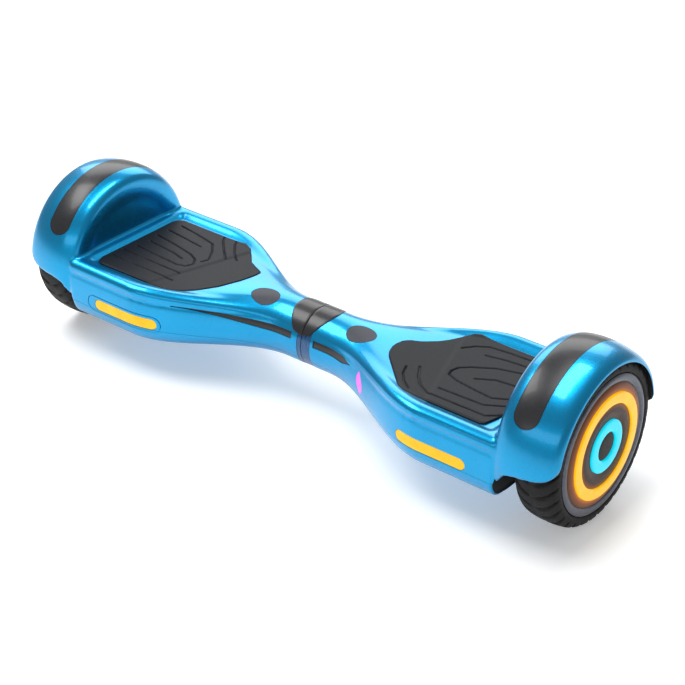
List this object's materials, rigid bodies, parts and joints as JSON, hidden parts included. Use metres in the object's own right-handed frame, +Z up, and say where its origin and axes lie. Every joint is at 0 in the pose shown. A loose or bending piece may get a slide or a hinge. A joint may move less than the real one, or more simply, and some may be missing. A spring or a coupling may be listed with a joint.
{
  "type": "self balancing hoverboard",
  "caption": "Two-wheeled self balancing board: two foot decks that twist on a tube in a slim neck, hub motor wheels under rounded fenders, ring lights in the hubs.",
  "frame": {"origin": "on the ground under the middle of the neck, where the two halves meet", "axes": "+X along the axle line towards the half with the charging socket, -Y the front with the strip lights, +Z up"},
  "size_m": [0.661, 0.183, 0.174],
  "materials": {
    "shell_paint": "metallic cyan-blue paint on moulded shells, clear coated",
    "black_trim": "satin black moulded trim",
    "foot_rubber": "matt charcoal rubber with moulded grooves",
    "tyre_rubber": "solid black tyre with curved tread grooves",
    "cast_frame": "as cast",
    "steel": "turned",
    "bronze": "sintered bronze",
    "amber_lens": "moulded amber light lens",
    "cyan_lens": "moulded cyan light lens",
    "magenta_lens": "moulded magenta light lens",
    "smoked_window": "smoked indicator window",
    "hub_metal": "satin grey rim",
    "hub_dark": "dark hub cover",
    "magnet": "nickelled magnets",
    "winding": "laminated core with copper windings",
    "circuit": "circuit board with its parts",
    "battery_wrap": "shrink wrapped cell block",
    "cable_jacket": "cable jacket",
    "button_metal": "polished button"
  },
  "bodies": {
    "left_half": {"left_top_shell": "shell_paint", "left_bottom_shell": "shell_paint", "left_chassis": "cast_frame", "left_foot_mat": "foot_rubber", "left_centre_cover": "black_trim", "left_sensor_board": "circuit", "left_light_lens": "amber_lens", "left_fender_strip": "black_trim", "left_indicator_window": "smoked_window", "left_slot_trim": "black_trim", "left_axle": "steel", "left_axle_clamp": "cast_frame", "left_screws": "steel", "left_stator": "winding", "pivot_tube": "steel", "pivot_retaining_ring": "steel", "battery_pack": "battery_wrap", "bridge_cable": "cable_jacket"},
    "right_half": {"right_top_shell": "shell_paint", "right_bottom_shell": "shell_paint", "right_chassis": "cast_frame", "right_foot_mat": "foot_rubber", "right_centre_cover": "black_trim", "right_sensor_board": "circuit", "right_light_lens": "amber_lens", "right_fender_strip": "black_trim", "right_indicator_window": "smoked_window", "right_slot_trim": "black_trim", "right_axle": "steel", "right_axle_clamp": "cast_frame", "right_screws": "steel", "right_stator": "winding", "pivot_bushes": "bronze", "main_board": "circuit", "charge_socket": "hub_dark", "right_accent_light": "magenta_lens"},
    "left_wheel": {"left_magnet_ring": "magnet", "left_wheel_rim": "hub_metal", "left_wheel_bearings": "steel", "left_motor_cover": "hub_metal", "left_hub_cover": "hub_dark", "left_hub_ring_lamp": "amber_lens", "left_hub_centre_lamp": "cyan_lens", "left_hub_cap": "hub_dark", "left_tyre": "tyre_rubber"},
    "left_front_trigger": {"left_front_trigger": "black_trim"},
    "left_rear_trigger": {"left_rear_trigger": "black_trim"},
    "right_wheel": {"right_magnet_ring": "magnet", "right_wheel_rim": "hub_metal", "right_wheel_bearings": "steel", "right_motor_cover": "hub_metal", "right_hub_cover": "hub_dark", "right_hub_ring_lamp": "amber_lens", "right_hub_centre_lamp": "cyan_lens", "right_hub_cap": "hub_dark", "right_tyre": "tyre_rubber"},
    "right_front_trigger": {"right_front_trigger": "black_trim"},
    "right_rear_trigger": {"right_rear_trigger": "black_trim"},
    "power_button": {"power_button": "button_metal"},
    "charge_port_lid": {"charge_port_lid": "foot_rubber"}
  },
  "joints": [
    {"name": "twist", "type": "hinge", "parent": "left_half", "child": "right_half", "pos_m": [0, 0, 0.075], "axis": [1, 0, 0], "range_deg": [-12, 12]},
    {"name": "left_wheel_spin", "type": "hinge", "parent": "left_half", "child": "left_wheel", "pos_m": [-0.305, 0, 0.0825], "axis": [1, 0, 0], "continuous": true},
    {"name": "left_front_trigger_press", "type": "slide", "parent": "left_half", "child": "left_front_trigger", "axis": [0, 0, -1], "range_m": [0, 0.002], "stiffness_N_per_m": 900, "springref_m": -0.001},
    {"name": "left_rear_trigger_press", "type": "slide", "parent": "left_half", "child": "left_rear_trigger", "axis": [0, 0, -1], "range_m": [0, 0.002], "stiffness_N_per_m": 900, "springref_m": -0.001},
    {"name": "right_wheel_spin", "type": "hinge", "parent": "right_half", "child": "right_wheel", "pos_m": [0.305, 0, 0.0825], "axis": [1, 0, 0], "continuous": true},
    {"name": "right_front_trigger_press", "type": "slide", "parent": "right_half", "child": "right_front_trigger", "axis": [0, 0, -1], "range_m": [0, 0.002], "stiffness_N_per_m": 900, "springref_m": -0.001},
    {"name": "right_rear_trigger_press", "type": "slide", "parent": "right_half", "child": "right_rear_trigger", "axis": [0, 0, -1], "range_m": [0, 0.002], "stiffness_N_per_m": 900, "springref_m": -0.001},
    {"name": "power_button_press", "type": "slide", "parent": "right_half", "child": "power_button", "axis": [0, -1, 0], "range_m": [0, 0.0015], "stiffness_N_per_m": 600, "springref_m": -0.0005},
    {"name": "charge_port_lid_open", "type": "hinge", "parent": "right_half", "child": "charge_port_lid", "pos_m": [0.1515, 0.0885, 0.07], "axis": [0, 0, 1], "range_deg": [0, 110]}
  ]
}
